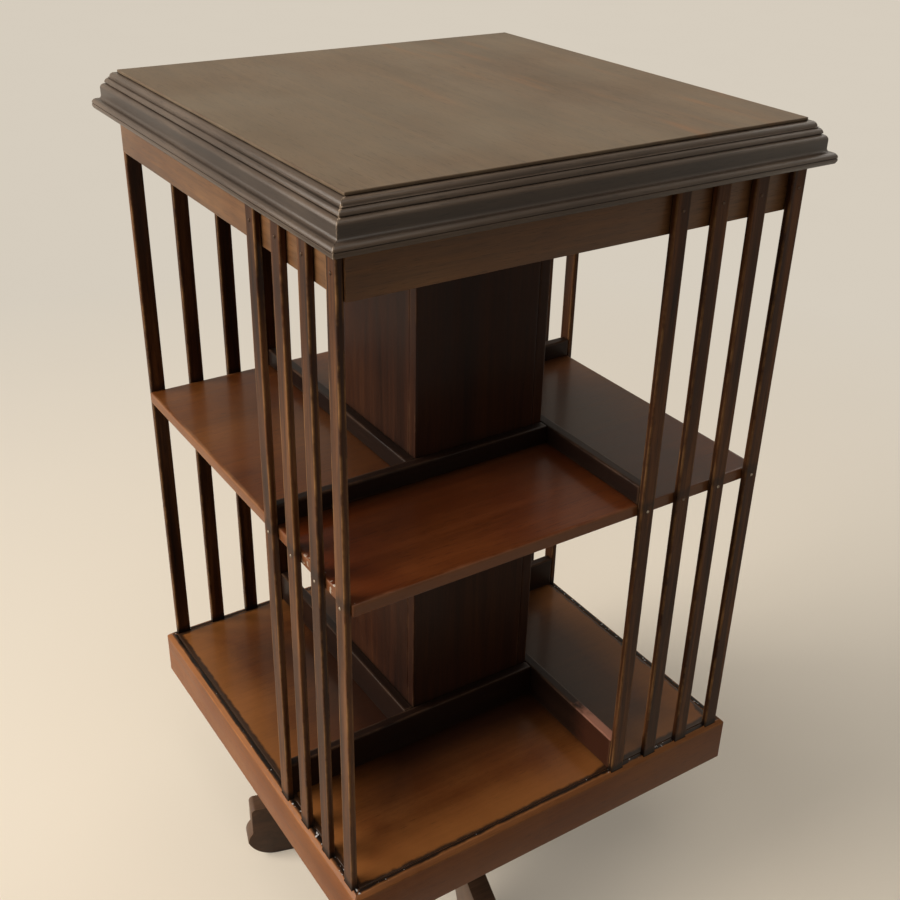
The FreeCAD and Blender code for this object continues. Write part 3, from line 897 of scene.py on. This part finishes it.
# Pins
def slatPins():
    pins = {"radius": 0.0017, "height": 0.0009, "shank": 0.0008, "sink": 0.0135, "sides": 16, "rings": 8,
            "shankSides": 12, "smooth": 50}
    inward = (math.pi / 2, 0, 0)
    low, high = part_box("slat_pins")
    face = low.y + pins["height"]
    shelfLow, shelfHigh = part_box("middle_shelf")
    heights = ((shelfLow.z + shelfHigh.z) / 2, high.z - pins["radius"])
    parts = []
    for number in slatNumbers:
        slatLow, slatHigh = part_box("slat_front_{}".format(number))
        for height in heights:
            middle = Vector(((slatLow.x + slatHigh.x) / 2, face, height))
            dropSelection()
            bpy.ops.mesh.primitive_uv_sphere_add(segments=pins["sides"], ring_count=pins["rings"],
                                                 radius=pins["radius"], location=middle, rotation=inward)
            head = bpy.context.object
            head.scale = (1, 1, pins["height"] / pins["radius"])
            applyPlace()
            centre = middle + Vector((0, pins["sink"] / 2, 0))
            bpy.ops.mesh.primitive_cylinder_add(vertices=pins["shankSides"], radius=pins["shank"],
                                                depth=pins["sink"], location=centre, rotation=inward)
            applyPlace()
            parts += [head, bpy.context.object]
    front = joinPieces(parts, "slatPins")
    others = [turnedCopy(front, "pins", degrees) for degrees in (90, 180, 270)]
    everyPin = joinPieces([front] + others, "slatPins")
    smoothPiece(everyPin, pins["smooth"])
    install(everyPin, "case", "pin_steel", finishes["pin"], "slat_pins")


slatPins()


# Base
def crossBoards():
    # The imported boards, merged and with their arrises eased
    names = {"bearer_lower": "crossBoardLower", "bearer_upper": "crossBoardUpper", "hub_board": "hubBoard"}
    cross = {"bearer_lower": 0.002, "bearer_upper": 0.002, "hub_board": 0.0012, "flatDegrees": 0.5}
    for node, name in names.items():
        board = freshCopy(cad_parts[node], name)
        board.parent = None
        for key in list(board.keys()):
            del board[key]
        openPiece(board, "vertex")
        bpy.ops.mesh.select_all(action="SELECT")
        bpy.ops.mesh.remove_doubles(threshold=tiny / 2)
        bpy.ops.mesh.dissolve_limited(angle_limit=math.radians(cross["flatDegrees"]))
        closePiece()
        easeEdges(board, cross[node])
        install(board, "base", "mahogany_base", finishes["base"], node)


crossBoards()
print("pins and cross base done")


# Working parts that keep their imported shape
hiddenFinishes = {
    "post": "post", "post_flange": "iron", "lower_bush": "brass", "pivot_cup": "brass",
    "pivot_block": "block", "plinth_blocks": "block", "frieze_blocks": "block",
    "hub_screws": "screw", "flange_screws": "screw", "bush_screws": "screw", "cup_screws": "screw",
    "block_screws": "screw",
}
for node, kind in hiddenFinishes.items():
    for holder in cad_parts[node].material_slots:
        holder.material = finishes[kind]


# Floor, light and camera
def seenRays(tree):
    # 1 for what is seen, straight or in gloss and glass, and 0 for the light that falls on the object
    path = addNode(tree, "LightPath").outputs
    seen = calc(tree, "MAXIMUM", path["Is Camera Ray"], path["Is Glossy Ray"])
    return calc(tree, "MAXIMUM", seen, path["Is Transmission Ray"])


def makeFloor():
    # Near the object the floor is lit and takes its shadow, and far off it only glows, evenly
    floor = {"half": 14.0, "seen": paint(232, 222, 206), "bounce": paint(128, 113, 94),
             "fleck": paint(206, 196, 182), "flecks": (3.0, 4.0), "fleckAmount": 0.08, "roughness": 0.8,
             "fade": (0.45, 2.0), "glow": 0.18, "farGlow": 0.84}
    dropSelection()
    bpy.ops.mesh.primitive_plane_add(size=2 * floor["half"])
    plane = bpy.context.object
    plane.name = "studioFloor"
    finish, tree = newFinish("paleFloor")
    seen = seenRays(tree)
    place = addNode(tree, "TexCoord").outputs["Object"]
    away = addNode(tree, "VectorMath", {0: place}, operation="LENGTH").outputs["Value"]
    reach = fade(tree, away, *floor["fade"])
    strength = addNode(tree, "MapRange", {"Value": reach, "To Min": floor["glow"],
                                          "To Max": floor["farGlow"]}).outputs[0]
    fleck = times(tree, cloud(tree, place, *floor["flecks"]), floor["fleckAmount"])
    pale = blendColour(tree, fleck, floor["seen"], floor["fleck"])
    lit = blendColour(tree, reach, pale, paint(0, 0, 0))
    tone = blendColour(tree, seen, floor["bounce"], lit)
    closeFinish(tree, {"Base Color": tone, "Roughness": floor["roughness"], "Specular IOR Level": 0.0,
                       "Emission Color": pale, "Emission Strength": times(tree, seen, strength)})
    plane.data.materials.append(finish)


def makeSky():
    sky = {"light": 0.13, "seen": 0.84, "colour": paint(231, 221, 205)}
    world = bpy.data.worlds.new("studio")
    bpy.context.scene.world = world
    world.use_nodes = True
    tree = world.node_tree
    tree.nodes.clear()
    strength = addNode(tree, "MapRange", {"Value": seenRays(tree), "To Min": sky["light"],
                                          "To Max": sky["seen"]}).outputs[0]
    background = addNode(tree, "Background", {"Color": sky["colour"], "Strength": strength})
    addNode(tree, "OutputWorld", {"Surface": background.outputs[0]})


def addLamp(name, place, aim, size, power, colour):
    dropSelection()
    bpy.ops.object.light_add(type="AREA", location=place)
    lamp = bpy.context.object
    lamp.name = name
    lamp.data.shape = "SQUARE"
    lamp.data.size = size
    lamp.data.energy = power
    lamp.data.color = colour
    lamp.visible_camera = False
    lamp.rotation_euler = (Vector(aim) - Vector(place)).to_track_quat("-Z", "Y").to_euler()


def makeLights():
    # A large soft lamp on the left, with weak ones on the right and above
    lamps = {
        "windowLamp": {"place": (-4.5, 1.6, 2.9), "aim": (0, 0, 0.45), "size": 3.6, "power": 378,
                       "colour": (1.0, 0.93, 0.84)},
        "rightLamp": {"place": (4.2, 1.0, 1.7), "aim": (0, 0, 0.45), "size": 2.4, "power": 38,
                      "colour": (1.0, 0.95, 0.88)},
        "ceilingLamp": {"place": (-0.3, -1.05, 3.1), "aim": (0, 0, 0.4), "size": 1.6, "power": 15,
                        "colour": (1.0, 0.95, 0.88)},
    }
    for name, lamp in lamps.items():
        addLamp(name, **lamp)


def makeCamera():
    # The viewpoint of the photograph, solved from the edges of the case
    view = {"place": (-0.6063, -0.9352, 1.1471), "turn": 33.596, "dip": 28.932, "tilt": 1.378,
            "focalPixels": 1194.43, "widthPixels": 900, "sensorWidth": 36, "farthest": 100}
    data = bpy.data.cameras.new("camera")
    camera = bpy.data.objects.new("camera", data)
    bpy.context.collection.objects.link(camera)
    turn, dip, tilt = (math.radians(view[key]) for key in ("turn", "dip", "tilt"))
    look = Vector((math.sin(turn) * math.cos(dip), math.cos(turn) * math.cos(dip), -math.sin(dip)))
    aim = look.to_track_quat("-Z", "Y") @ Quaternion((0, 0, 1), tilt)
    camera.rotation_euler = aim.to_euler()
    camera.location = view["place"]
    data.sensor_width = view["sensorWidth"]
    data.lens = data.sensor_width * view["focalPixels"] / view["widthPixels"]
    data.clip_end = view["farthest"]
    bpy.context.scene.camera = camera


makeFloor()
makeSky()
makeLights()
makeCamera()
bpy.context.scene.view_settings.view_transform = "Standard"
print("floor, light and camera set")
